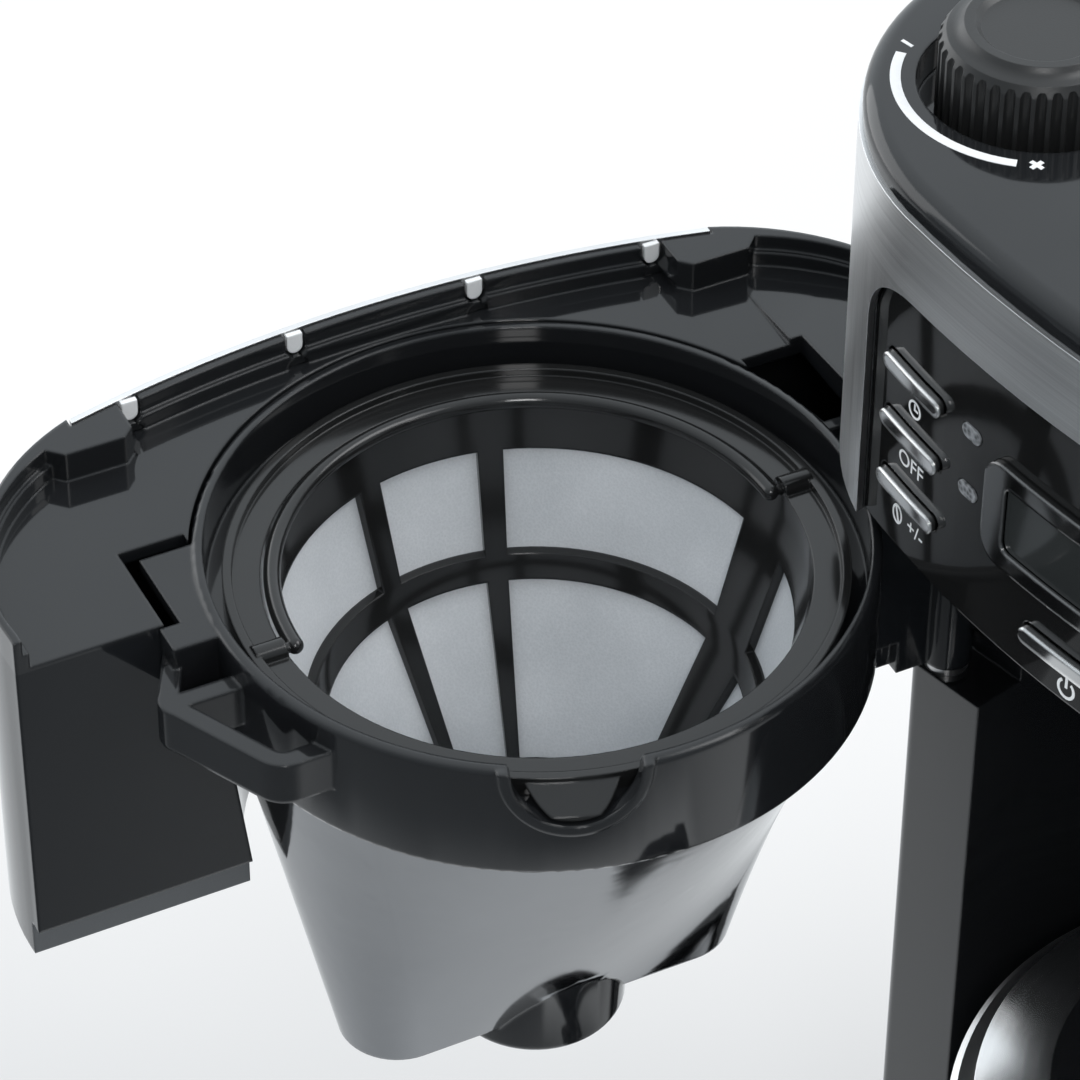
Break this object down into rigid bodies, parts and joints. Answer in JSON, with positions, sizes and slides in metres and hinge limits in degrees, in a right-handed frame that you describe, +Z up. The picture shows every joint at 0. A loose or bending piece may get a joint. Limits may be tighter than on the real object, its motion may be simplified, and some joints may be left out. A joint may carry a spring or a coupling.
{
  "type": "drip coffee maker",
  "caption": "Upright drip coffee maker with built-in grinder, curved front panel, swing-out brew basket with mesh filter, insulated carafe, bean hopper and water tank.",
  "frame": {"origin": "on the table under the brew axis, which is also the carafe's axis", "axes": "+X right seen from the front, +Y towards the back, +Z up"},
  "size_m": [0.2972, 0.3485, 0.4194],
  "materials": {
    "black_plastic": "glossy",
    "panel_gloss": "high gloss",
    "brushed_steel": "brushed",
    "chrome_trim": "polished",
    "smoke_basket": "dark mirror gloss",
    "filter_black": "glossy",
    "filter_mesh_grey": "fine mesh",
    "dial_satin": "satin",
    "display_glass": "dark glass",
    "light_lens": "translucent",
    "rubber": "matte",
    "silicone": "translucent",
    "white_plastic": "matte",
    "clear_plastic": "smoke clear",
    "cast_aluminium": "as cast",
    "motor_paint": "painted",
    "board": "solder mask",
    "steel_parts": "satin"
  },
  "bodies": {
    "machine": {"base_housing": "black_plastic", "base_pan": "black_plastic", "tower_shell": "black_plastic", "rear_cover": "black_plastic", "head_shell": "black_plastic", "top_cover": "black_plastic", "cord_gland": "black_plastic", "control_panel": "panel_gloss", "steel_frame": "brushed_steel", "carafe_rest": "brushed_steel", "display_frame": "chrome_trim", "display_lens": "display_glass", "indicator_lights": "light_lens", "rubber_feet": "rubber", "cold_tube": "silicone", "riser_tube": "silicone", "shower_head": "white_plastic", "burr_case": "white_plastic", "grind_chute": "white_plastic", "check_valve": "white_plastic", "water_tank": "clear_plastic", "bean_hopper": "clear_plastic", "flow_heater": "cast_aluminium", "grinder_motor": "motor_paint", "control_board": "board", "display_module": "board", "dial_control": "board", "hinge_pins": "steel_parts", "housing_screws": "steel_parts", "upper_burr": "steel_parts"},
    "door": {"door_tray": "black_plastic", "door_skin": "brushed_steel"},
    "basket": {"brew_basket": "smoke_basket", "valve_spring": "steel_parts"},
    "valve": {"drip_valve": "filter_black"},
    "filter": {"filter_frame": "filter_black", "filter_mesh": "filter_mesh_grey"},
    "bail": {"filter_bail": "filter_black"},
    "carafe": {"carafe_shell": "brushed_steel", "carafe_liner": "brushed_steel", "carafe_collar": "brushed_steel", "carafe_handle": "black_plastic", "carafe_lid": "black_plastic", "lid_seal": "rubber"},
    "lever": {"pour_lever": "black_plastic"},
    "hopper_cover": {"hopper_lid": "black_plastic"},
    "tank_cover": {"tank_lid": "black_plastic"},
    "dial": {"grind_dial": "dial_satin"},
    "burr": {"lower_burr": "steel_parts"},
    "program_bar": {"program_button": "chrome_trim"},
    "grind_bar": {"grind_button": "chrome_trim"},
    "strength_bar": {"strength_button": "chrome_trim"},
    "hour_bar": {"hour_button": "chrome_trim"},
    "minute_bar": {"minute_button": "chrome_trim"},
    "cups_bar": {"cups_button": "chrome_trim"},
    "power_bar": {"power_button": "chrome_trim"},
    "timer_bar": {"timer_button": "chrome_trim"}
  },
  "joints": [
    {"name": "door_hinge", "type": "hinge", "parent": "machine", "child": "door", "pos_m": [-0.096, -0.008, 0.28], "axis": [0, 0, -1], "range_deg": [-105.5, 0]},
    {"name": "basket_pull", "type": "slide", "parent": "door", "child": "basket", "axis": [0.9636, -0.2672, 0], "range_m": [0, 0.15]},
    {"name": "valve_lift", "type": "slide", "parent": "basket", "child": "valve", "axis": [0, 0, 1], "range_m": [0, 0.004], "stiffness_N_per_m": 150, "deforming": ["valve_spring"]},
    {"name": "filter_lift", "type": "slide", "parent": "basket", "child": "filter", "axis": [-0.0827, -0.1527, 0.9848], "range_m": [0, 0.11]},
    {"name": "bail_fold", "type": "hinge", "parent": "filter", "child": "bail", "pos_m": [-0.11395, -0.10265, 0.3103], "axis": [0.2672, 0.9636, 0], "range_deg": [0, 95]},
    {"name": "carafe_slide", "type": "slide", "parent": "machine", "child": "carafe", "axis": [0, -1, 0], "range_m": [0, 0.2]},
    {"name": "lever_press", "type": "hinge", "parent": "carafe", "child": "lever", "pos_m": [0, -0.074, 0.182], "axis": [1, 0, 0], "range_deg": [0, 15], "stiffness_Nm_per_rad": 0.6},
    {"name": "hopper_lid_hinge", "type": "hinge", "parent": "machine", "child": "hopper_cover", "pos_m": [0.0285, 0.1418, 0.4108], "axis": [-1, 0, 0], "range_deg": [0, 100]},
    {"name": "tank_lid_hinge", "type": "hinge", "parent": "machine", "child": "tank_cover", "pos_m": [-0.071, 0.1418, 0.4108], "axis": [-1, 0, 0], "range_deg": [0, 100]},
    {"name": "dial_turn", "type": "hinge", "parent": "machine", "child": "dial", "pos_m": [-0.07, -0.0256, 0.407], "axis": [0, 0, 1], "range_deg": [-55, 55]},
    {"name": "burr_spin", "type": "hinge", "parent": "machine", "child": "burr", "pos_m": [0.058, 0.112, 0.34], "axis": [0, 0, 1], "continuous": true},
    {"name": "program_press", "type": "slide", "parent": "machine", "child": "program_bar", "axis": [0, 1, 0], "range_m": [0, 0.0012], "stiffness_N_per_m": 800},
    {"name": "grind_press", "type": "slide", "parent": "machine", "child": "grind_bar", "axis": [0, 1, 0], "range_m": [0, 0.0012], "stiffness_N_per_m": 800},
    {"name": "strength_press", "type": "slide", "parent": "machine", "child": "strength_bar", "axis": [0, 1, 0], "range_m": [0, 0.0012], "stiffness_N_per_m": 800},
    {"name": "hour_press", "type": "slide", "parent": "machine", "child": "hour_bar", "axis": [0, 1, 0], "range_m": [0, 0.0012], "stiffness_N_per_m": 800},
    {"name": "minute_press", "type": "slide", "parent": "machine", "child": "minute_bar", "axis": [0, 1, 0], "range_m": [0, 0.0012], "stiffness_N_per_m": 800},
    {"name": "cups_press", "type": "slide", "parent": "machine", "child": "cups_bar", "axis": [0, 1, 0], "range_m": [0, 0.0012], "stiffness_N_per_m": 800},
    {"name": "power_press", "type": "slide", "parent": "machine", "child": "power_bar", "axis": [0, 1, 0], "range_m": [0, 0.0012], "stiffness_N_per_m": 800},
    {"name": "timer_press", "type": "slide", "parent": "machine", "child": "timer_bar", "axis": [0, 1, 0], "range_m": [0, 0.0012], "stiffness_N_per_m": 800}
  ]
}
